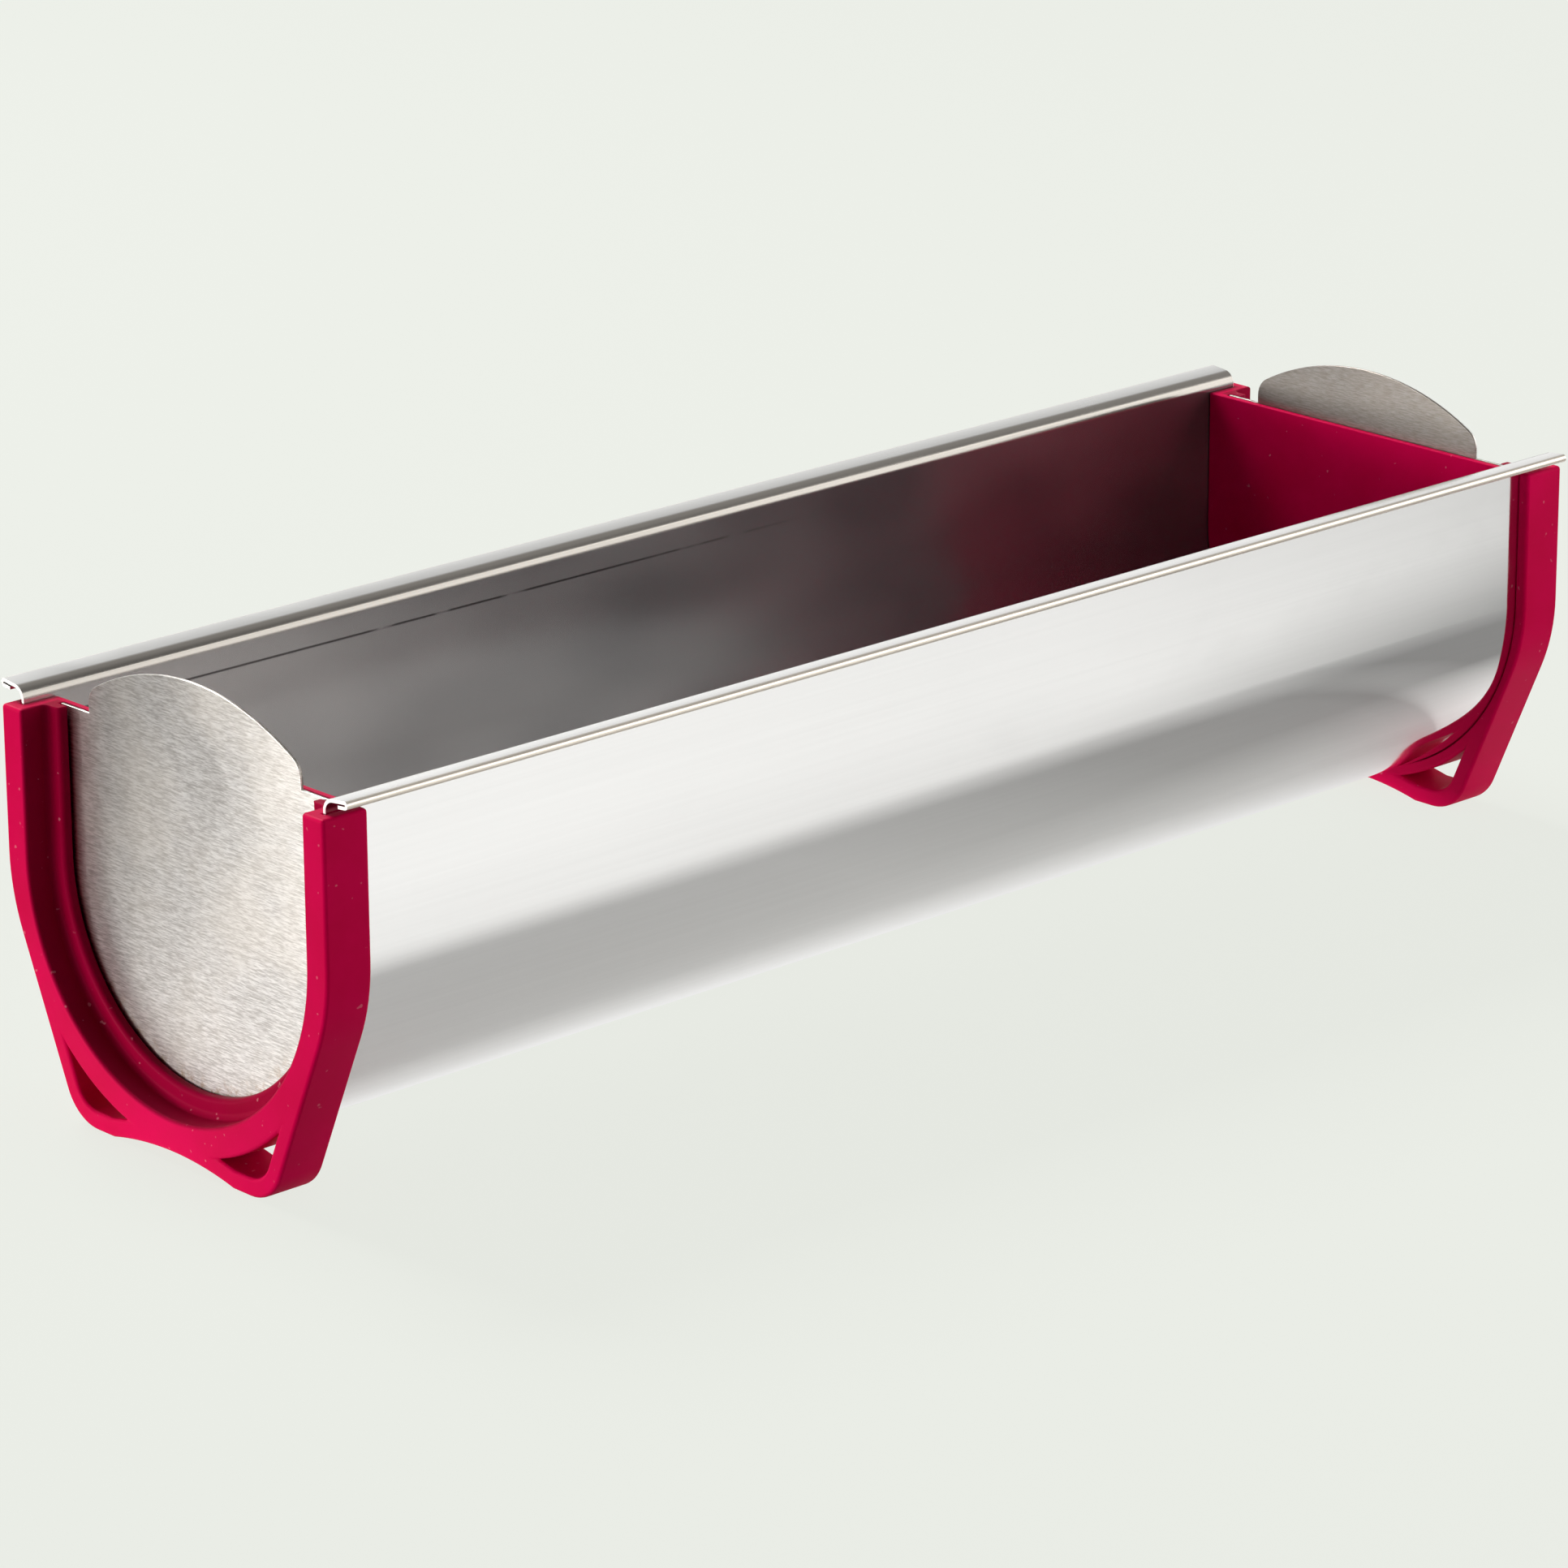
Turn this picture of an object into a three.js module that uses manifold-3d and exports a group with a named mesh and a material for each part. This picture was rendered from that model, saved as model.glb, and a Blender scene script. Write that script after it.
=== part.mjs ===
import * as THREE from 'three';
import { mergeVertices } from 'three/addons/utils/BufferGeometryUtils.js';
import Module from 'manifold-3d';

// Yule log mould: an open half-round steel gutter that stands in two moulded silicone end caps.
// A thin steel end plate stiffens each cap from outside and lifts out by its arched tab.
// Millimetres. X runs along the gutter, Y across it, Z up from the table that the feet stand on.

const wasm = await Module();
wasm.setup();

// Gutter
const gutter_length = 300;
const gutter_width = 82;
const gutter_sheet = 0.6;
const axis_height = 45.7;

// Rolled lip along both top edges of the gutter
const lip_start_height = 72.5;
const lip_bend_radius = 2.2;
const lip_rise_angle = THREE.MathUtils.degToRad(6);
const lip_reach = 5.6;
const hem_radius = 0.45;
const hem_return = 1.8;

// End cap: the slot from behind that grips the gutter, and the rubber on both sides of it
const cap_height = 72;
const cap_depth = 9.6;
const cap_front_wall = 2.6;
const seat_gap = 0.3;
const leg_wall = 2.1;
const slanted_wall = 1.5;
const ring_wall = 2;
const recess_wall = 2.3;

// End cap: sides, feet and the arch between the feet
const bend_radius = 36;
const slant_angle = THREE.MathUtils.degToRad(23.5);
const cap_edge_round = 0.5;
const foot_radius = 9;
const foot_flat = 4.4;
const foot_wall = 3.4;
const arch_rise = 1.9;

// End cap: stepped recess in its front, with a hollow corner before the ledge
const recess_depth = 5.2;
const recess_cove = 1.2;
const ledge_width = 3.6;
const ledge_depth = 2;

// End plate
const plate_sheet = 0.6;
const plate_rebate = 2.2;
const tab_rise = 12;
const tab_shoulder = 7.8;
const tab_radius = 54.7;
const tab_corner_radius = 4;

// One overrun serves all cuts, and one turn for each step all round stretches
const cut_overrun = 2;
const step_turn = THREE.MathUtils.degToRad(3.75);
const small_step_turn = THREE.MathUtils.degToRad(15);
const edge_steps = 2;

// Sizes that follow from the ones above
const gutter_radius = gutter_width / 2;
const slot_outer_radius = gutter_radius + seat_gap;
const slot_inner_radius = gutter_radius - gutter_sheet - seat_gap;
const leg_reach = slot_outer_radius + leg_wall;
const slanted_reach = slot_outer_radius + slanted_wall;
const ring_radius = slot_outer_radius + ring_wall;
const recess_radius = slot_inner_radius - recess_wall;
const opening_radius = recess_radius - ledge_width;
const plate_radius = opening_radius + plate_rebate;
const plate_front = recess_depth + ledge_depth + seat_gap;
const plate_slot_end = plate_front + plate_sheet + seat_gap;
const cap_front = gutter_length / 2 + cap_front_wall;

// Shapes are drawn in a plane whose x is the part's Y and whose y is its Z,
// and are extruded along the part's X. An arc's points run from its first angle to its last.
const along_x = new THREE.Matrix4().makeBasis(
	new THREE.Vector3(0, 1, 0), new THREE.Vector3(0, 0, 1), new THREE.Vector3(1, 0, 0));

const point = (x, y) => new THREE.Vector2(x, y);

function arc(x, y, radius, from, to, turn = step_turn) {
	const steps = Math.ceil(Math.abs(to - from) / turn);
	return new THREE.EllipseCurve(x, y, radius, radius, from, to, to < from).getPoints(steps);
}

function mirrored(points) {
	return points.map((p) => point(-p.x, p.y)).reverse();
}

function prism(points, start, end, edge_round = 0) {
	const geometry = new THREE.ExtrudeGeometry(new THREE.Shape(points), {
		depth: end - start - edge_round - edge_round,
		bevelEnabled: edge_round > 0,
		bevelThickness: edge_round,
		bevelSize: edge_round,
		bevelOffset: -edge_round,
		bevelSegments: edge_steps,
	});
	geometry.translate(0, 0, start + edge_round);
	return geometry.applyMatrix4(along_x);
}

// Solids for cutting and joining

function toSolid(geometry) {
	const bare = geometry.clone();
	bare.deleteAttribute('normal');
	bare.deleteAttribute('uv');
	const merged = mergeVertices(bare);
	return new wasm.Manifold(new wasm.Mesh({
		numProp: 3,
		vertProperties: merged.attributes.position.array,
		triVerts: new Uint32Array(merged.index.array),
	}));
}

function toGeometry(solid) {
	const mesh = solid.getMesh();
	const indexed = new THREE.BufferGeometry();
	indexed.setAttribute('position', new THREE.BufferAttribute(mesh.vertProperties, 3));
	indexed.setIndex(new THREE.BufferAttribute(mesh.triVerts, 1));
	const geometry = indexed.toNonIndexed();
	geometry.computeVertexNormals();
	return geometry;
}

function cut(body, ...tools) {
	return tools.reduce((rest, tool) => rest.subtract(toSolid(tool)), toSolid(body));
}

// A U of the given radius about the gutter's axis, open upwards to the given height

function uLine(radius, top) {
	return [point(-radius, top), ...arc(0, axis_height, radius, Math.PI, 2 * Math.PI), point(radius, top)];
}

function uBand(outer, inner, top) {
	return [...uLine(outer, top), ...uLine(inner, top).reverse()];
}

// Gutter: one sheet, so its section is a middle line with half the sheet to each side

function gutterMiddleLine() {
	const wall = gutter_radius - gutter_sheet / 2;
	const bend_end = Math.PI / 2 + lip_rise_angle;
	const bend = arc(wall + lip_bend_radius, lip_start_height, lip_bend_radius, Math.PI, bend_end, small_step_turn);
	const run = point(Math.cos(lip_rise_angle), Math.sin(lip_rise_angle));
	const bend_exit = bend.at(-1);
	const tip_reach = gutter_radius + lip_reach - hem_radius - gutter_sheet / 2;
	const tip = bend_exit.clone().addScaledVector(run, (tip_reach - bend_exit.x) / run.x);
	const turn = tip.clone().addScaledVector(point(run.y, -run.x), hem_radius);
	const hem = arc(turn.x, turn.y, hem_radius, bend_end, lip_rise_angle - Math.PI / 2, small_step_turn);
	const fold_end = hem.at(-1).clone().addScaledVector(run, -hem_return);
	const lip = [...bend, ...hem, fold_end];
	return [...mirrored(lip), ...arc(0, axis_height, wall, Math.PI, 2 * Math.PI), ...lip];
}

function sheetOutline(line, thickness) {
	const sides = [1, -1].map((side) => line.map((here, i) => {
		const before = line[i - 1] ?? here;
		const after = line[i + 1] ?? here;
		const arriving = here.clone().sub(before).normalize();
		const leaving = after.clone().sub(here).normalize();
		const direction = arriving.clone().add(leaving).normalize();
		const across = point(-direction.y, direction.x);
		const mitre = Math.max(direction.dot(arriving), direction.dot(leaving));
		return here.clone().addScaledVector(across, side * thickness / 2 / mitre);
	}));
	return [...sides[0], ...sides[1].reverse()];
}

function gutterGeometry() {
	const section = sheetOutline(gutterMiddleLine(), gutter_sheet);
	return prism(section, -gutter_length / 2, gutter_length / 2);
}

// End cap: legs beside the gutter, sides that slant to two feet, and an arch between the feet.
// The slanted side stays one reach away from the gutter's axis. An inset keeps the centres of all arcs.

const foot_centre = (slanted_reach - (axis_height - foot_radius) * Math.sin(slant_angle) - foot_radius)
	/ Math.cos(slant_angle);
const bend_corner_drop = (slanted_reach - leg_reach * Math.cos(slant_angle)) / Math.sin(slant_angle);
const bend_height = axis_height - bend_corner_drop + bend_radius * Math.tan(slant_angle / 2);
const arch_reach = foot_centre - foot_flat;
const arch_radius = (arch_reach ** 2 + arch_rise ** 2) / (2 * arch_rise);
const arch_centre_height = arch_rise - arch_radius;

function capOutline(inset) {
	const arch = arch_radius + inset;
	const arch_end = Math.asin((inset - arch_centre_height) / arch);
	const side = [
		...arc(foot_centre, foot_radius, foot_radius - inset, 1.5 * Math.PI, 2 * Math.PI - slant_angle),
		...arc(leg_reach - bend_radius, bend_height, bend_radius - inset, -slant_angle, 0),
		point(leg_reach - inset, cap_height),
	];
	return [...mirrored(side), ...arc(0, arch_centre_height, arch, Math.PI - arch_end, arch_end), ...side];
}

// The curved triangles between ring and feet
function footHoles() {
	const inside = prism(capOutline(foot_wall), -cut_overrun, cap_depth + cut_overrun);
	const ring = prism(uLine(ring_radius, cap_height + cut_overrun),
		-2 * cut_overrun, cap_depth + 2 * cut_overrun);
	return toGeometry(cut(inside, ring));
}

function capGeometry() {
	const above = cap_height + cut_overrun;
	return toGeometry(cut(
		prism(capOutline(0), 0, cap_depth, cap_edge_round),
		footHoles(),
		prism(uLine(recess_radius, above + cut_overrun), -cut_overrun, recess_depth, recess_cove),
		prism(uLine(opening_radius, above), -cut_overrun, plate_slot_end),
		prism(uLine(plate_radius + seat_gap, above), plate_front - seat_gap, plate_slot_end),
		prism(uBand(slot_outer_radius, slot_inner_radius, above),
			cap_front_wall - seat_gap, cap_depth + cut_overrun),
	));
}

// End plate: it fills the slot round the opening, and its arched tab stands above the cap

function plateGeometry() {
	const tab = plate_radius - tab_shoulder;
	const tab_centre = cap_height + tab_rise - tab_radius;
	const corner_x = tab - tab_corner_radius;
	const corner_angle = Math.acos(corner_x / (tab_radius - tab_corner_radius));
	const corner_y = tab_centre + (tab_radius - tab_corner_radius) * Math.sin(corner_angle);
	const tab_side = [
		point(tab, cap_height),
		...arc(corner_x, corner_y, tab_corner_radius, 0, corner_angle),
	];
	const crown = arc(0, tab_centre, tab_radius, corner_angle, Math.PI - corner_angle).slice(1, -1);
	const outline = [...uLine(plate_radius, cap_height), ...tab_side, ...crown, ...mirrored(tab_side)];
	return prism(outline, plate_front, plate_front + plate_sheet);
}

// Finishes

const polished_steel = new THREE.MeshStandardMaterial({ color: 0xc9cbca, roughness: 0.22, metalness: 1 });
const brushed_steel = new THREE.MeshStandardMaterial({ color: 0xbdb8b2, roughness: 0.42, metalness: 1 });
const silicone = new THREE.MeshStandardMaterial({ color: 0xb8003f, roughness: 0.5, metalness: 0 });

function piece(name, geometry, material) {
	const mesh = new THREE.Mesh(geometry, material);
	mesh.name = name;
	return mesh;
}

// The two ends are alike: the second is the first turned half way round

const mould = new THREE.Group();
mould.add(piece('gutter', gutterGeometry(), polished_steel));

const cap = capGeometry();
const plate = plateGeometry();
for (const [side, turn] of [['left', 0], ['right', Math.PI]]) {
	const end = new THREE.Group();
	end.rotation.z = turn;
	end.position.x = -cap_front * Math.cos(turn);
	end.add(piece(`end_cap_${side}`, cap, silicone));
	end.add(piece(`end_plate_${side}`, plate, brushed_steel));
	mould.add(end);
}

export default mould;
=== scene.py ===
import math

import bmesh
import bpy
from mathutils import Matrix, Vector


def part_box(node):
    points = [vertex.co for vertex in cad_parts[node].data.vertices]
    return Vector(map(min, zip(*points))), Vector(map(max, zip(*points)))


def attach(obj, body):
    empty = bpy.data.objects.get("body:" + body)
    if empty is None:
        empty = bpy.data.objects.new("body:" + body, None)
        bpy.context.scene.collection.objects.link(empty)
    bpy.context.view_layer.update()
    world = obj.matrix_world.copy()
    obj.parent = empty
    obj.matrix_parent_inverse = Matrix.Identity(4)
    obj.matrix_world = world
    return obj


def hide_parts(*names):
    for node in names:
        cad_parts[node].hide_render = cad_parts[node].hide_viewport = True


# Yule log mould: a polished half-round steel gutter in two raspberry silicone end caps, each with a
# brushed steel end plate. Metres. X runs along the gutter, Y across it, Z up from the table.

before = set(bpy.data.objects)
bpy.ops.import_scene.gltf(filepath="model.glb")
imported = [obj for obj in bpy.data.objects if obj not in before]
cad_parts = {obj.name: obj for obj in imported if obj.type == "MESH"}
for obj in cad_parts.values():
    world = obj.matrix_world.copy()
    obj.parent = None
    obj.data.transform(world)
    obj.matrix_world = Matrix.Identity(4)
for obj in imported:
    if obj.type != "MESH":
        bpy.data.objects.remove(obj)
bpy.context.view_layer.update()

MM = 0.001

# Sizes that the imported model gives
gutter_low, gutter_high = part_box("gutter")
cap_low, cap_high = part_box("end_cap_left")
plate_low, plate_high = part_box("end_plate_left")
gutter_length = gutter_high.x - gutter_low.x
flange_reach = gutter_high.y
cap_front = cap_low.x
cap_depth = cap_high.x - cap_low.x
cap_height = cap_high.z
leg_reach = cap_high.y
plate_radius = plate_high.y
plate_sheet = plate_high.x - plate_low.x
plate_front = plate_low.x - cap_low.x
tab_top = plate_high.z
axis_height = plate_low.z + plate_radius
gutter_radius = axis_height - gutter_low.z

# Gutter: the lip that both long edges are rolled into
sheet = 0.6 * MM
lip_start_height = 72.5 * MM
lip_bend_radius = 2.2 * MM
lip_rise_angle = math.radians(6)
hem_radius = 0.45 * MM
hem_return = 1.8 * MM
scratch_height = 68.6 * MM

# End cap
front_wall = 2.6 * MM
seat_gap = 0.3 * MM
grip_gap = 0.12 * MM
slanted_wall = 1.5 * MM
ring_wall = 2 * MM
recess_wall = 2.3 * MM
bend_radius = 36 * MM
slant_angle = math.radians(23.5)
foot_radius = 9 * MM
foot_flat = 4.4 * MM
foot_wall = 3.4 * MM
arch_rise = 1.9 * MM
recess_depth = 5.2 * MM
recess_cove = 1.2 * MM
ledge_width = 3.6 * MM

# End plate: its tab, and the bow of its outer face, which is this times Y squared
tab_shoulder = 7.8 * MM
tab_radius = 54.7 * MM
tab_corner_radius = 4 * MM
plate_bow = 0.48

# Rounding of edges, and the number of steps that it is made in
rubber_edge_round = 0.7 * MM
slot_edge_round = 0.25 * MM
ledge_edge_round = 0.95 * MM
plate_edge_round = 0.12 * MM
rubber_round_steps = 4
cove_steps = 5
plate_round_steps = 2

# One step of an arc turns about this much
round_turn = math.radians(1.8)
arch_turn = math.radians(1.5)
side_turn = math.radians(3)
foot_turn = math.radians(6)
corner_turn = math.radians(11.25)
hem_turn = math.radians(22.5)

# Cutters run past what they cut. A cut solid is cleaned up before its edges are rounded.
overrun = 2 * MM
seam_gap = 0.001 * MM
weld_gap = 0.02 * MM
shortest_edge = 0.05 * MM
flat_angle = math.radians(0.2)
sharp_angle = math.radians(32)
sharp_sheet_angle = math.radians(40)

# Sizes that follow
slanted_reach = gutter_radius + seat_gap + slanted_wall
ring_radius = gutter_radius + seat_gap + ring_wall
recess_radius = gutter_radius - sheet - seat_gap - recess_wall
opening_radius = recess_radius - ledge_width
plate_slot_end = plate_front + plate_sheet + seat_gap
slot_floor = front_wall - seat_gap
plate_outer_face = -cap_front - plate_front
sheet_middle_radius = gutter_radius - sheet / 2

# Sizes of the cap's outline. The slanted side stays one reach away from the gutter's axis.
foot_drop = (axis_height - foot_radius) * math.sin(slant_angle)
foot_centre = (slanted_reach - foot_drop - foot_radius) / math.cos(slant_angle)
bend_drop = (slanted_reach - leg_reach * math.cos(slant_angle)) / math.sin(slant_angle)
bend_height = axis_height - bend_drop + bend_radius * math.tan(slant_angle / 2)
arch_reach = foot_centre - foot_flat
arch_radius = (arch_reach ** 2 + arch_rise ** 2) / (2 * arch_rise)
arch_centre = arch_rise - arch_radius


# Drawing an outline square to X, by operators

class Pen:
    """Draws an outline in the plane across the gutter, from one end to the other."""

    def __init__(self, mesh, y, z):
        self.mesh = mesh
        self.tip = bmesh.ops.create_vert(mesh, co=(0, y, z))["vert"][0]

    def line(self, y, z):
        self.tip = bmesh.ops.extrude_vert_indiv(self.mesh, verts=[self.tip])["verts"][0]
        self.tip.co = (0, y, z)

    def arc(self, y, z, turn, step_turn=round_turn):
        """Turns the tip about a centre, from Y towards Z for a positive turn."""
        swept = bmesh.ops.spin(
            self.mesh, geom=[self.tip], cent=(0, y, z), axis=(1, 0, 0), angle=turn,
            steps=math.ceil(abs(turn) / step_turn))
        self.tip = swept["geom_last"][0]


def mirror_across(mesh):
    geometry = mesh.verts[:] + mesh.edges[:] + mesh.faces[:]
    bmesh.ops.mirror(mesh, geom=geometry, axis="Y", merge_dist=0)
    bmesh.ops.remove_doubles(mesh, verts=mesh.verts[:], dist=seam_gap)


def move_along(mesh, geometry, length):
    verts = [g for g in geometry if isinstance(g, bmesh.types.BMVert)]
    bmesh.ops.translate(mesh, verts=verts, vec=(length, 0, 0))


def new_piece(name, mesh):
    data = bpy.data.meshes.new(name)
    mesh.to_mesh(data)
    mesh.free()
    piece = bpy.data.objects.new(name, data)
    bpy.context.scene.collection.objects.link(piece)
    return piece


def settle(piece):
    """Works the modifiers of a piece into its mesh."""
    bpy.context.view_layer.update()
    shaped = piece.evaluated_get(bpy.context.evaluated_depsgraph_get())
    piece.data = bpy.data.meshes.new_from_object(shaped)
    piece.modifiers.clear()


def prism(name, draw, start, end):
    """A closed solid along X with the outline that draw makes on one side of the middle."""
    mesh = bmesh.new()
    draw(mesh)
    mirror_across(mesh)
    bmesh.ops.contextual_create(mesh, geom=mesh.edges[:])
    move_along(mesh, mesh.verts[:], start)
    outline = mesh.faces[:] + mesh.edges[:] + mesh.verts[:]
    move_along(mesh, bmesh.ops.extrude_face_region(mesh, geom=outline)["geom"], end - start)
    bmesh.ops.recalc_face_normals(mesh, faces=mesh.faces[:])
    return new_piece(name, mesh)


# Outlines, on the side of positive Y

def half_u(radius, top):
    def draw(mesh):
        pen = Pen(mesh, 0, axis_height - radius)
        pen.arc(0, axis_height, math.pi / 2)
        pen.line(radius, top)
        pen.line(0, top)
    return draw


def half_u_band(outer, inner, top):
    def draw(mesh):
        pen = Pen(mesh, 0, axis_height - outer)
        pen.arc(0, axis_height, math.pi / 2)
        pen.line(outer, top)
        pen.line(inner, top)
        pen.line(inner, axis_height)
        pen.arc(0, axis_height, -math.pi / 2)
    return draw


def half_cap_outline(inset):
    """Arch, foot, slanted side and leg. An inset keeps the centres of all arcs."""
    def draw(mesh):
        arch = arch_radius + inset
        arch_end = math.asin((inset - arch_centre) / arch)
        side = bend_radius - inset
        bend_y = leg_reach - bend_radius
        pen = Pen(mesh, 0, arch_centre + arch)
        pen.arc(0, arch_centre, arch_end - math.pi / 2, arch_turn)
        pen.line(foot_centre, inset)
        pen.arc(foot_centre, foot_radius, math.pi / 2 - slant_angle, foot_turn)
        pen.line(
            bend_y + side * math.cos(slant_angle), bend_height - side * math.sin(slant_angle))
        pen.arc(bend_y, bend_height, slant_angle, side_turn)
        pen.line(leg_reach - inset, cap_height)
        pen.line(0, cap_height)
    return draw


def half_plate_outline(mesh):
    tab = plate_radius - tab_shoulder
    tab_centre = tab_top - tab_radius
    corner_y = tab - tab_corner_radius
    corner_angle = math.acos(corner_y / (tab_radius - tab_corner_radius))
    corner_z = tab_centre + (tab_radius - tab_corner_radius) * math.sin(corner_angle)
    pen = Pen(mesh, 0, axis_height - plate_radius)
    pen.arc(0, axis_height, math.pi / 2)
    pen.line(plate_radius, cap_height)
    pen.line(tab, cap_height)
    pen.line(tab, corner_z)
    pen.arc(corner_y, corner_z, corner_angle, corner_turn)
    pen.arc(0, tab_centre, math.pi / 2 - corner_angle)


def half_gutter_line(mesh):
    """The middle of the sheet: half the round bottom, a wall, the rolled lip and its hem."""
    bend_y = sheet_middle_radius + lip_bend_radius
    run = Vector((math.cos(lip_rise_angle), math.sin(lip_rise_angle)))
    below = Vector((run.y, -run.x))
    bend_exit = Vector((bend_y, lip_start_height)) - lip_bend_radius * below
    tip_reach = flange_reach - hem_radius - sheet / 2
    tip = bend_exit + run * (tip_reach - bend_exit.x) / run.x
    fold_end = tip + 2 * hem_radius * below - hem_return * run
    pen = Pen(mesh, 0, axis_height - sheet_middle_radius)
    pen.arc(0, axis_height, math.pi / 2)
    pen.line(sheet_middle_radius, lip_start_height)
    pen.arc(bend_y, lip_start_height, lip_rise_angle - math.pi / 2, corner_turn)
    pen.line(*tip)
    pen.arc(*(tip + hem_radius * below), -math.pi, hem_turn)
    pen.line(*fold_end)


# Pieces

def round_sharp_edges(piece, size_of, steps):
    """Joins flat faces back together, then rounds every edge that turns sharply by its own size."""
    mesh = bmesh.new()
    mesh.from_mesh(piece.data)
    bmesh.ops.remove_doubles(mesh, verts=mesh.verts[:], dist=weld_gap)
    bmesh.ops.dissolve_limit(
        mesh, angle_limit=flat_angle, verts=mesh.verts[:], edges=mesh.edges[:])
    bmesh.ops.dissolve_degenerate(mesh, edges=mesh.edges[:], dist=shortest_edge)
    weight = mesh.edges.layers.float.new("bevel_weight_edge")
    for edge in mesh.edges:
        if len(edge.link_faces) == 2 and edge.calc_face_angle() > sharp_angle:
            edge[weight] = size_of(edge) / MM
    mesh.to_mesh(piece.data)
    mesh.free()
    rounding = piece.modifiers.new("rounding", "BEVEL")
    rounding.width = MM
    rounding.segments = steps
    rounding.limit_method = "WEIGHT"
    rounding.use_clamp_overlap = False
    settle(piece)


def cap_edge_size(edge):
    """Most on the ledge round the plate, less in the slots, and none in a foot hole's corners."""
    first, last = (vert.co for vert in edge.verts)
    middle = (first + last) / 2
    reach = math.hypot(middle.y, min(middle.z - axis_height, 0))
    if middle.z < axis_height and abs(first.x - last.x) > cap_depth / 2:
        return 0
    if abs(middle.x - recess_depth) < seat_gap and reach < opening_radius + seat_gap:
        return ledge_edge_round
    at_slot_floor = abs(middle.x - slot_floor) < slot_edge_round
    at_front = middle.x < recess_depth - recess_cove and not at_slot_floor
    outside = reach > gutter_radius + 2 * seat_gap
    return rubber_edge_round if at_front or outside else slot_edge_round


def weigh_normals(piece):
    """Large flat faces keep their own normal, and the rounded edges turn between them."""
    piece.data.shade_smooth()
    weighted = piece.modifiers.new("flat faces first", "WEIGHTED_NORMAL")
    weighted.keep_sharp = True
    settle(piece)


def make_gutter():
    mesh = bmesh.new()
    half_gutter_line(mesh)
    mirror_across(mesh)
    swept = bmesh.ops.extrude_edge_only(mesh, edges=mesh.edges[:])["geom"]
    move_along(mesh, swept, gutter_length)
    move_along(mesh, mesh.verts[:], gutter_low.x)
    bmesh.ops.recalc_face_normals(mesh, faces=mesh.faces[:])
    piece = new_piece("gutter_sheet", mesh)
    thick = piece.modifiers.new("sheet", "SOLIDIFY")
    thick.thickness = sheet
    thick.offset = 0
    thick.use_even_offset = True
    settle(piece)
    piece.data.shade_smooth()
    piece.data.set_sharp_from_angle(angle=sharp_sheet_angle)
    return piece


def carve(body, cutters):
    for cutter in cutters:
        cut = body.modifiers.new("cut", "BOOLEAN")
        cut.operation = "DIFFERENCE"
        cut.solver = "EXACT"
        cut.object = cutter
    settle(body)
    for cutter in cutters:
        bpy.data.objects.remove(cutter)


def recess_cutter(top):
    """The recess, with its deep edge rounded so that it leaves a hollow corner."""
    cutter = prism("recess", half_u(recess_radius, top), -overrun, recess_depth)
    mesh = bmesh.new()
    mesh.from_mesh(cutter.data)
    deep = [e for e in mesh.edges if all(v.co.x > recess_depth - weld_gap for v in e.verts)]
    bmesh.ops.bevel(
        mesh, geom=deep, offset=recess_cove, offset_type="OFFSET", segments=cove_steps,
        profile=0.5, affect="EDGES", clamp_overlap=False, loop_slide=True, material=-1)
    mesh.to_mesh(cutter.data)
    mesh.free()
    return cutter


def make_cap():
    above = cap_height + overrun
    behind = cap_depth + overrun
    plate_slot = half_u(plate_radius + seat_gap, above + overrun)
    sheet_slot = half_u_band(gutter_radius + grip_gap, gutter_radius - sheet - grip_gap, above)
    body = prism("end_cap", half_cap_outline(0), 0, cap_depth)
    ring = prism("ring", half_u(ring_radius, above), -3 * overrun, behind + 2 * overrun)
    holes = prism("holes", half_cap_outline(foot_wall), -overrun, behind)
    carve(holes, [ring])
    carve(body, [
        holes,
        recess_cutter(above + 2 * overrun),
        prism("opening", half_u(opening_radius, above), -overrun, plate_slot_end),
        prism("plate_slot", plate_slot, plate_front - seat_gap, plate_slot_end),
        prism("sheet_slot", sheet_slot, slot_floor, behind),
    ])
    round_sharp_edges(body, cap_edge_size, rubber_round_steps)
    weigh_normals(body)
    return body


def make_plate():
    piece = prism("end_plate", half_plate_outline, plate_front, plate_front + plate_sheet)
    round_sharp_edges(piece, lambda edge: plate_edge_round, plate_round_steps)
    weigh_normals(piece)
    return piece


def set_on_both_ends(piece, name):
    """The left end's piece, and a copy turned half way round for the right end."""
    piece.data.transform(Matrix.Translation((cap_front, 0, 0)))
    twin = bpy.data.objects.new(f"{name}_right", piece.data.copy())
    bpy.context.scene.collection.objects.link(twin)
    twin.data.transform(Matrix.Rotation(math.pi, 4, "Z"))
    piece.name = f"{name}_left"
    return piece, twin


# Shader maths

class Value:
    """A node's output, on which sums add Math nodes."""

    def __init__(self, finish, socket):
        self.finish = finish
        self.socket = socket

    def math(self, operation, *others):
        sockets = dict(enumerate((self, *others)))
        return self.finish.add("ShaderNodeMath", {"operation": operation}, sockets)

    def __add__(self, other):
        return self.math("ADD", other)

    def __sub__(self, other):
        return self.math("SUBTRACT", other)

    def __rsub__(self, other):
        return self.math("MULTIPLY_ADD", -1, other)

    def __mul__(self, other):
        return self.math("MULTIPLY", other)

    def __abs__(self):
        return self.math("ABSOLUTE")

    def other(self, name):
        """Another output of the same node."""
        return Value(self.finish, self.socket.node.outputs[name])

    __radd__ = __add__
    __rmul__ = __mul__


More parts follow.
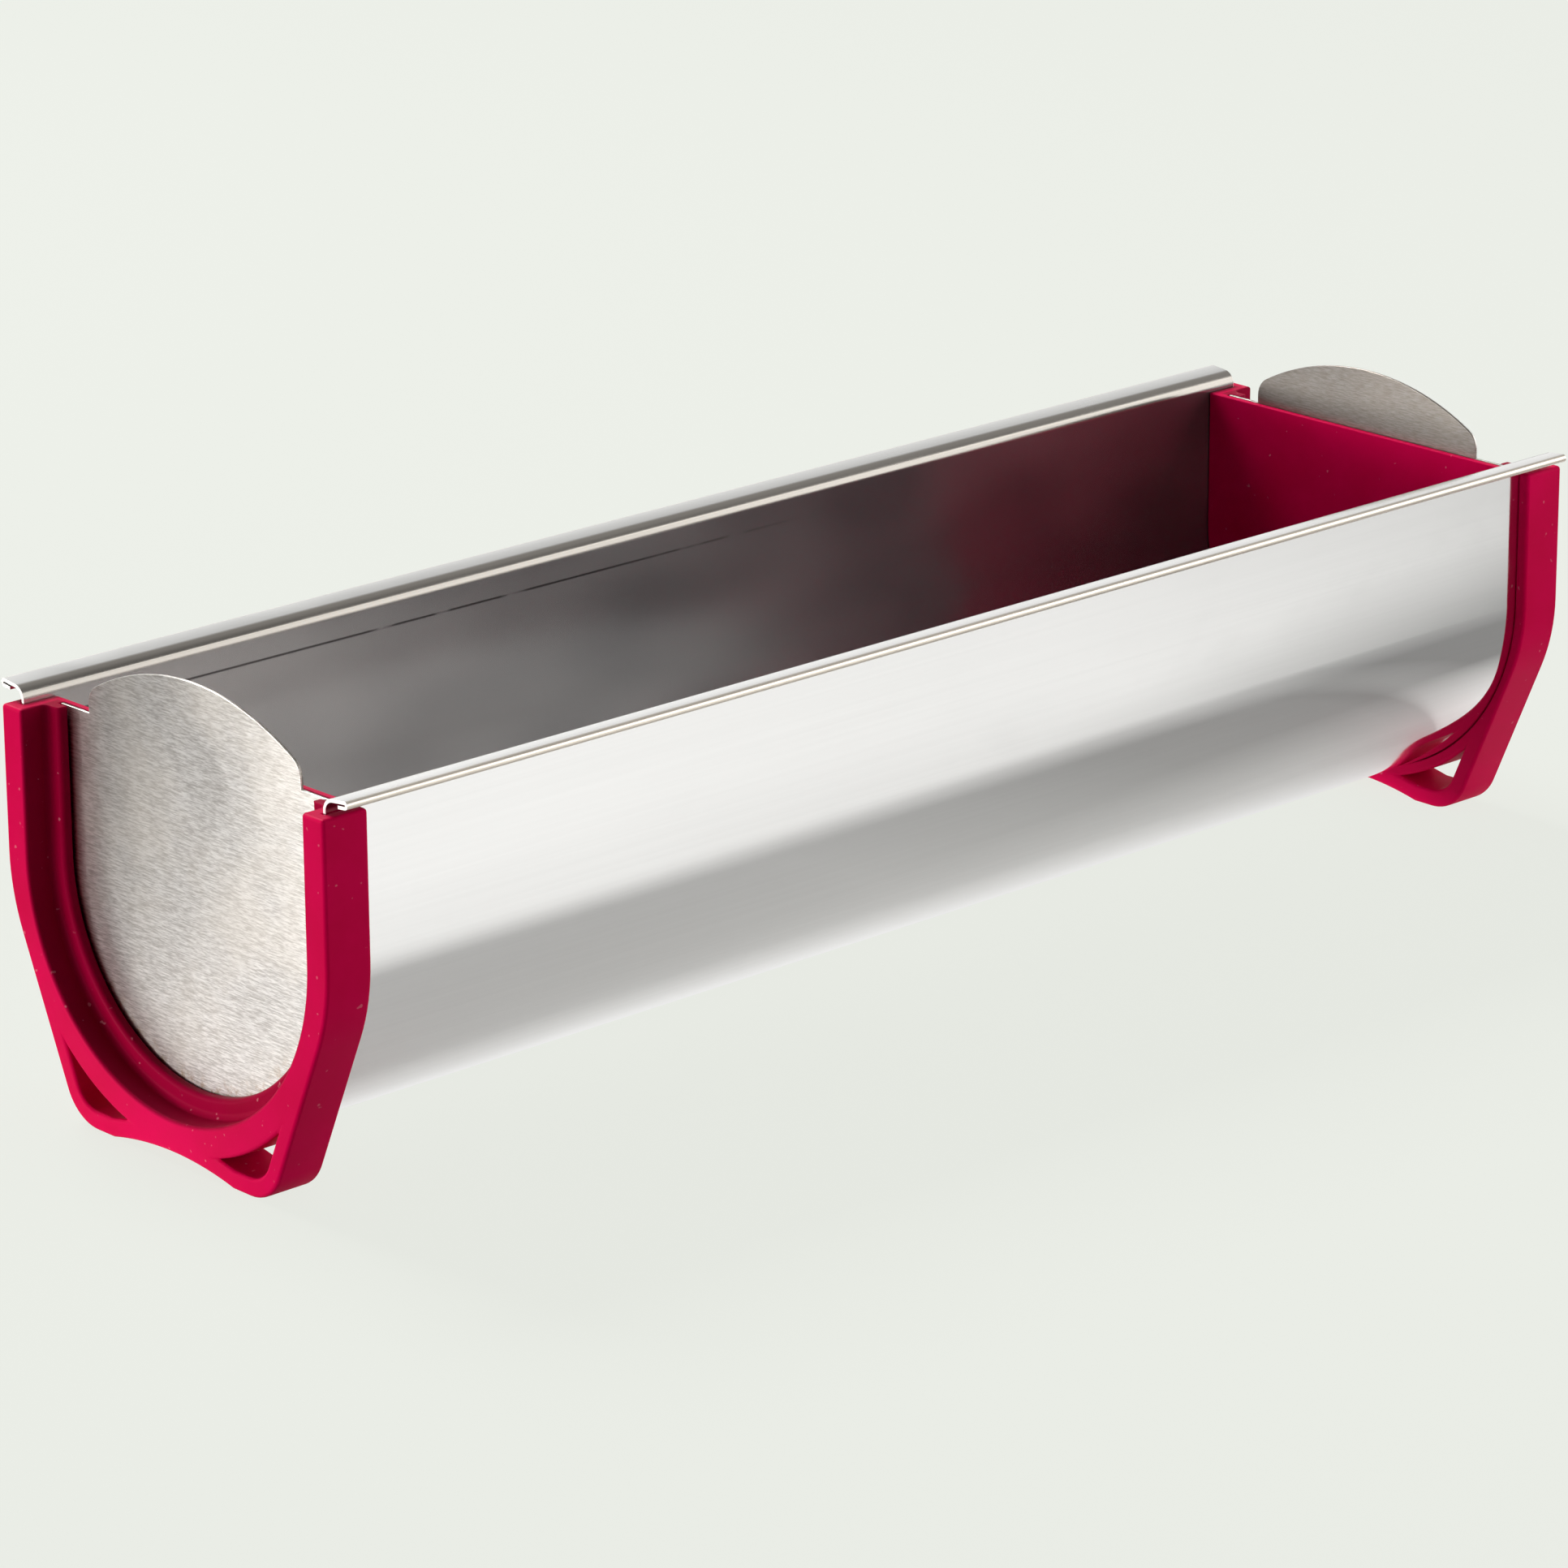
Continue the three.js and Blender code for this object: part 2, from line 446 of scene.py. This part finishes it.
class Finish:
    """A material, or the world, while its nodes are being added."""

    def __init__(self, owner):
        owner.use_nodes = True
        self.owner = owner
        self.tree = owner.node_tree
        self.tree.nodes.clear()

    def add(self, kind, settings=None, sockets=None, output=0):
        """One node: its settings first, then the values or links of its sockets."""
        node = self.tree.nodes.new(kind)
        for name, setting in (settings or {}).items():
            if name == "stops":
                ramp = node.color_ramp.elements
                for _ in setting[len(ramp):]:
                    ramp.new(1)
                for element, (place, level) in zip(ramp, setting):
                    element.position = place
                    element.color = (level, level, level, 1)
            else:
                setattr(node, name, setting)
        for name, value in (sockets or {}).items():
            if isinstance(value, Value):
                self.tree.links.new(value.socket, node.inputs[name])
            else:
                node.inputs[name].default_value = value
        return Value(self, node.outputs[output]) if len(node.outputs) else None

    def axes(self, kind="Object"):
        """X, Y and Z of the spot that is shaded, in metres."""
        spot = self.add("ShaderNodeTexCoord", output=kind)
        x = self.add("ShaderNodeSeparateXYZ", None, {"Vector": spot})
        return x, x.other("Y"), x.other("Z")

    def noise(self, scale, detail=2, roughness=0.5, distortion=0, rotation=(0, 0, 0)):
        """Clouds, with this many waves to a metre along X, Y and Z."""
        spot = self.add("ShaderNodeTexCoord", output="Object")
        place = self.add(
            "ShaderNodeMapping", None, {"Vector": spot, "Scale": scale, "Rotation": rotation})
        return self.add("ShaderNodeTexNoise", None, {
            "Vector": place, "Scale": 1, "Detail": detail, "Roughness": roughness,
            "Distortion": distortion})

    def between(self, value, low, high, at_low=0, at_high=1):
        """Goes evenly from one level to the other, and keeps level on both sides."""
        return self.add("ShaderNodeMapRange", {"clamp": True}, {
            "Value": value, "From Min": low, "From Max": high,
            "To Min": at_low, "To Max": at_high})

    def ramp(self, value, stops):
        """Goes evenly from one level to the next through all the stops."""
        low, high = stops[0][0], stops[-1][0]
        shares = [((at - low) / (high - low), level) for at, level in stops]
        share = self.between(value, low, high)
        return self.add("ShaderNodeValToRGB", {"stops": shares}, {"Fac": share})

    def blend(self, amount, first, second):
        """Mixes two colours, each a value or its red, green and blue."""
        first, second = (c if isinstance(c, Value) else (*c, 1) for c in (first, second))
        sockets = {0: amount, 6: first, 7: second}
        return self.add("ShaderNodeMix", {"data_type": "RGBA"}, sockets, output=2)

    def layers(self, colour, *tints):
        """Lays each tint over the colour by its own amount."""
        for amount, tint in tints:
            colour = self.blend(amount, colour, tint)
        return colour

    def bump(self, height, distance, **normal):
        return self.add("ShaderNodeBump", None, {"Height": height, "Distance": distance, **normal})

    def surface(self, **sockets):
        named = {name.replace("_", " "): value for name, value in sockets.items()}
        shader = self.add("ShaderNodeBsdfPrincipled", None, named)
        self.add("ShaderNodeOutputMaterial", None, {"Surface": shader})
        return self.owner


def new_finish(name):
    return Finish(bpy.data.materials.new(name))


def from_axis(y, z):
    """How far a spot lies from the gutter's axis, or above it from the upright middle plane."""
    drop = (z - axis_height).math("MINIMUM", 0)
    return (y * y + drop * drop).math("SQRT")


# Finishes

# A mask changes within this much to both sides of where it ends
mask_edge = 0.025 * MM


def polished_steel():
    """Faintly rolled outside, dull inside with one broken scratch line. The inside is painted
    darker than the outside as painted shade, paler towards the near end; the lip's bend and the hem
    are painted warm as a painted reflection.
    """
    rolled_dark, rolled_light = (0.945, 0.94, 0.915), (0.97, 0.965, 0.94)
    # Painted shade: the inside of the sheet is painted far darker than the outside, from dark to
    # pale
    inner_shade_dark, inner_shade_pale = (0.28, 0.28, 0.285), (0.73, 0.715, 0.7)
    scratch_tint = (0.08, 0.07, 0.07)
    # Painted reflection: the lip's bend is painted darker and warm, the hem a warm cream
    bend_reflection_tint = (0.5, 0.465, 0.42)
    hem_reflection_tint = (0.95, 0.84, 0.7)
    cut_tint = (0.82, 0.8, 0.77)

    f = new_finish("polished_steel")
    x, y, z = f.axes()
    rolling = f.noise((9, 1500, 1500), detail=3, roughness=0.6)
    waves = f.noise((11, 26, 26), detail=1)
    smudges = f.noise((38, 60, 60), detail=4, roughness=0.6, distortion=0.2)
    haze = f.noise((20, 40, 40), detail=1)
    breaks = f.noise((90, 20, 20), detail=3)

    inside = f.between(
        from_axis(y, z), sheet_middle_radius + mask_edge, sheet_middle_radius - mask_edge)
    lip = f.between(z, lip_start_height, lip_start_height + 1.5 * MM)
    bend_reflection_zone = f.between(z, lip_start_height, lip_start_height + 0.5 * MM)
    bend_reflection_zone = bend_reflection_zone * f.between(abs(y), gutter_radius + 1.6 * MM, gutter_radius + 1 * MM)
    hem = f.between(abs(y), flange_reach - 0.8 * MM, flange_reach - 0.4 * MM)
    end = gutter_length / 2
    cut_end = f.between(abs(x), end - 3 * mask_edge, end - mask_edge)
    scratch = f.between(abs(z - scratch_height), 0.3 * MM, 0.1 * MM)
    scratch = scratch * f.between(breaks, 0.35, 0.43)
    scratch = scratch * f.between(y, 20 * MM, 30 * MM) * f.between(x, 40 * MM, -20 * MM)
    # Painted light: besides random haze, the inside is painted paler towards the near end
    paler_by_haze_and_painted_light = f.between(haze, 0.35, 0.65, 0, 0.4) + f.between(x, -151.5 * MM, 90.9 * MM, 0.8, 0)

    outer = f.blend(f.between(rolling, 0.3, 0.7), rolled_dark, rolled_light)
    # The inside's colour: painted shade, with the scratch line over it
    inner = f.layers(inner_shade_dark, (paler_by_haze_and_painted_light, inner_shade_pale), (scratch * 0.85, scratch_tint))
    # Painted shade and painted warm reflection at the lip's bend, painted warm reflection on the
    # hem
    tint = f.layers(
        f.blend(inside, outer, inner),
        (bend_reflection_zone, bend_reflection_tint), (hem * 0.8, hem_reflection_tint), (cut_end, cut_tint))

    clean = f.between(smudges, 0.42, 0.68, 0.05, 0.12)
    dull = f.between(haze, 0.3, 0.7, 0.16, 0.22)
    worn = clean * (1 - inside) + dull * inside
    roughness = worn + lip * 0.16 + hem * 0.1 + cut_end * 0.35
    normal = f.bump(waves, 0.2 * MM, Normal=f.bump(rolling, 0.001 * MM))
    return f.surface(
        Base_Color=tint, Metallic=1 - inside * 0.12, Roughness=roughness, Normal=normal)


def brushed_steel():
    """Short strokes across, brown crumbs at the lower rim, and an inner face painted darker as
    painted shade.
    """
    groove, ridge = (0.52, 0.485, 0.445), (0.88, 0.85, 0.81)
    mottle = (0.62, 0.56, 0.48)
    crumb_brown = (0.4, 0.24, 0.09)
    # Painted shade: the inner face, towards the gutter, is painted darker
    inner_face_shade = (0.13, 0.105, 0.085)
    stroke_slope = math.radians(-1.5)

    f = new_finish("brushed_steel")
    x, y, z = f.axes()
    strokes = f.noise(
        (900, 420, 4200), detail=2, roughness=0.7, rotation=(stroke_slope, 0, 0))
    cloud = f.noise((30, 45, 45), detail=4, roughness=0.6)
    crumbs = f.between(f.noise((420, 420, 420), detail=5, roughness=0.75), 0.5, 0.62)

    near_rim = f.between(from_axis(y, z), opening_radius - 3 * MM, opening_radius)
    low = f.between(z, 36 * MM, 20 * MM)
    plate_middle = plate_outer_face - plate_sheet / 2
    inner_face = f.between(abs(x), plate_middle + mask_edge, plate_middle - mask_edge)

    # The last layer is painted shade on the inner face
    tint = f.layers(
        groove,
        (f.between(strokes, 0.36, 0.64), ridge),
        (f.between(cloud, 0.42, 0.6, 0, 0.3), mottle),
        (near_rim * low * crumbs * 0.7, crumb_brown),
        (inner_face * 0.7, inner_face_shade))
    roughness = f.between(cloud, 0.3, 0.7, 0.29, 0.35)
    bow = f.bump((inner_face - 1) * y * y, plate_bow)
    normal = f.bump(cloud, 0.1 * MM, Normal=f.bump(strokes, 0.02 * MM, Normal=bow))
    return f.surface(
        Base_Color=tint, Metallic=1, Roughness=roughness, Anisotropic=0.8,
        Anisotropic_Rotation=0.25, Normal=normal)


def raspberry_silicone():
    """Satin rubber with fine grain and dust, and painted shade along the wall of the recess."""
    deep_raspberry, raspberry = (0.58, 0, 0.052), (0.66, 0, 0.07)
    # Painted shade: the wall of the recess is painted dark
    recess_shade_tint = (0.12, 0, 0.008)
    dust_tint = (0.8, 0.3, 0.35)
    sheen_tint = (1, 0.12, 0.35, 1)

    f = new_finish("raspberry_silicone")
    x, y, z = f.axes()
    cloud = f.noise((60, 60, 60), detail=4, roughness=0.6)
    grain = f.noise((1800, 1800, 1800))
    dust = f.between(f.noise((700, 700, 700), detail=1), 0.74, 0.78)

    # Painted shade along the wall of the recess, in front of the plate
    recess_shade = f.between(from_axis(y, z), recess_radius + 0.7 * MM, recess_radius + 0.1 * MM)
    recess_shade = recess_shade * f.between(abs(x), plate_outer_face - 1 * MM, plate_outer_face - 0.5 * MM)

    tint = f.layers(
        deep_raspberry,
        (f.between(cloud, 0.3, 0.7), raspberry),
        (recess_shade * 0.6, recess_shade_tint),
        (dust * 0.35, dust_tint))
    roughness = f.between(cloud, 0.3, 0.7, 0.42, 0.55)
    return f.surface(
        Base_Color=tint, Roughness=roughness, IOR=1.41, Specular_IOR_Level=0.08,
        Specular_Tint=sheen_tint, Normal=f.bump(grain, 0.015 * MM))


# Floor, light and camera

background = (0.855, 0.879, 0.823)
floor_half_size = 4
floor_glow = 0.96


def make_floor():
    """Plain to the camera. The steel reflects a pale table with painted shade instead: darker zones
    and a painted shadow band.

    The zones are given by how light the table is at a few places, in metres from the middle.
    """
    mesh = bmesh.new()
    bmesh.ops.create_grid(mesh, x_segments=1, y_segments=1, size=floor_half_size)
    floor = new_piece("floor", mesh)
    f = new_finish("floor")
    x, y, _ = f.axes()
    to_camera = f.add("ShaderNodeLightPath", output="Is Camera Ray")

    # The table is painted darker to the right, and more so in a painted shadow band along the front
    # of the object
    open_table_shade = f.ramp(x, [(0, 0.94), (0.15, 0.88), (0.3, 0.68)])
    in_shadow_band = f.ramp(x, [(0, 0.87), (0.05, 0.75), (0.09, 0.62), (0.14, 0.56), (0.18, 0.25)])
    shadow_band = f.ramp(
        y + x * 0.12, [(-0.128, 0), (-0.106, 0.75), (-0.08, 1), (-0.046, 1), (-0.02, 0)])
    # Both corners beyond the left end are painted dark, and the table behind the object is painted
    # dimmer: painted shade
    front_left_shade = f.between(x + y * 0.6, -0.18, -0.155, 0.2, 1)
    back_left_shade = f.between(x - y, -0.4, -0.23, 0.05, 1)
    behind = 1 - f.between(y, 0, 0.03) * f.between(x, -0.2, -0.125, 0, 0.42)
    # The table's colour for the steel: pale, with the painted shade and painted shadow above
    table = f.between(shadow_band, 0, 1, open_table_shade, in_shadow_band) * front_left_shade * back_left_shade * behind

    # Under the object it mostly glows, or its own shadow would look black in the steel
    under = f.between(abs(y), 0.03, 0.01)
    glow = f.between(to_camera, 0, 1, under * 0.6 + 0.2, 0.93)
    colour = f.blend(to_camera, table, background)
    lit = f.add("ShaderNodeBsdfDiffuse", None, {"Color": colour})
    glowing = f.add("ShaderNodeEmission", None, {"Color": colour, "Strength": floor_glow})
    shown = f.add("ShaderNodeMixShader", None, {0: glow, 1: lit, 2: glowing})
    f.add("ShaderNodeOutputMaterial", None, {"Surface": shown})
    floor.data.materials.append(f.owner)


def make_world():
    """A pale sweep behind the object and a dim room in front. The camera sees the background."""
    world = bpy.data.worlds.new("studio")
    bpy.context.scene.world = world
    f = Finish(world)
    x, y, z = f.axes("Generated")
    height = f.ramp(z, [
        (0, 0.95), (0.18, 0.92), (0.3, 0.72), (0.42, 0.54), (0.52, 0.46), (0.68, 0.4), (1, 0.3)])
    far_right = (x + y) * math.sqrt(0.5)
    sweep = f.ramp(far_right, [(-1, 0.04), (-0.5, 0.05), (0, 0.25), (0.4, 1)])
    to_camera = f.add("ShaderNodeLightPath", output="Is Camera Ray")
    room = f.add("ShaderNodeBackground", None, {"Color": height * sweep, "Strength": 1})
    seen = f.add("ShaderNodeBackground", None, {"Color": (*background, 1), "Strength": 1})
    shown = f.add("ShaderNodeMixShader", None, {0: to_camera, 1: room, 2: seen})
    f.add("ShaderNodeOutputWorld", None, {"Surface": shown})


def make_lamp(name, place, aim, width, height, power):
    lamp = bpy.data.lights.new(name, "AREA")
    lamp.shape = "RECTANGLE"
    lamp.size = width
    lamp.size_y = height
    lamp.energy = power
    holder = bpy.data.objects.new(name, lamp)
    holder.location = place
    holder.rotation_euler = (Vector(place) - Vector(aim)).to_track_quat("Z", "Y").to_euler()
    bpy.context.scene.collection.objects.link(holder)


def make_camera():
    """Stands where the photograph was taken from. The focal length is in the frame's pixels."""
    place = Vector((-0.79256, -0.84383, 0.41908))
    azimuth, elevation, roll = (math.radians(a) for a in (-42.8248, 18.4592, 0.3143))
    focal_length, frame_width = 8217.73, 1932
    nearest = 0.01
    level = Vector((math.cos(azimuth), math.sin(azimuth), 0))
    back = math.cos(elevation) * Vector((level.y, -level.x, math.tan(elevation)))
    upright = back.cross(level)
    right = math.cos(roll) * level - math.sin(roll) * upright
    up = math.sin(roll) * level + math.cos(roll) * upright
    turn = Matrix((right, up, back)).transposed().to_4x4()
    camera = bpy.data.objects.new("camera", bpy.data.cameras.new("camera"))
    camera.data.lens = focal_length / frame_width * camera.data.sensor_width
    camera.data.clip_start = nearest
    camera.matrix_world = Matrix.Translation(place) @ turn
    bpy.context.scene.collection.objects.link(camera)
    bpy.context.scene.camera = camera


# Assembly

gutter = make_gutter()
cap_pair = set_on_both_ends(make_cap(), "moulded_cap")
plate_pair = set_on_both_ends(make_plate(), "brushed_plate")

gutter.data.materials.append(polished_steel())
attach(gutter, "gutter")
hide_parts("gutter")
rubber = raspberry_silicone()
brushed = brushed_steel()
for side, cap, plate in zip(("left", "right"), cap_pair, plate_pair):
    cap.data.materials.append(rubber)
    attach(cap, f"cap_{side}")
    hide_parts(f"end_cap_{side}")
    plate.data.materials.append(brushed)
    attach(plate, f"plate_{side}")
    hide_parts(f"end_plate_{side}")

make_floor()
make_world()
mould_middle = (0, 0, 0.04)
left_end = (-0.15, 0, 0.04)
make_lamp("key", (0, 0.96, 1.13), mould_middle, width=0.6, height=0.6, power=21.5)
make_lamp("low left", (-1.6, 0.63, 0.1), left_end, width=1.27, height=0.26, power=28.5)
make_lamp("low right", (0.66, -0.94, 0.42), mould_middle, width=2.6, height=0.8, power=10.6)
make_camera()
bpy.context.scene.view_settings.view_transform = "Standard"
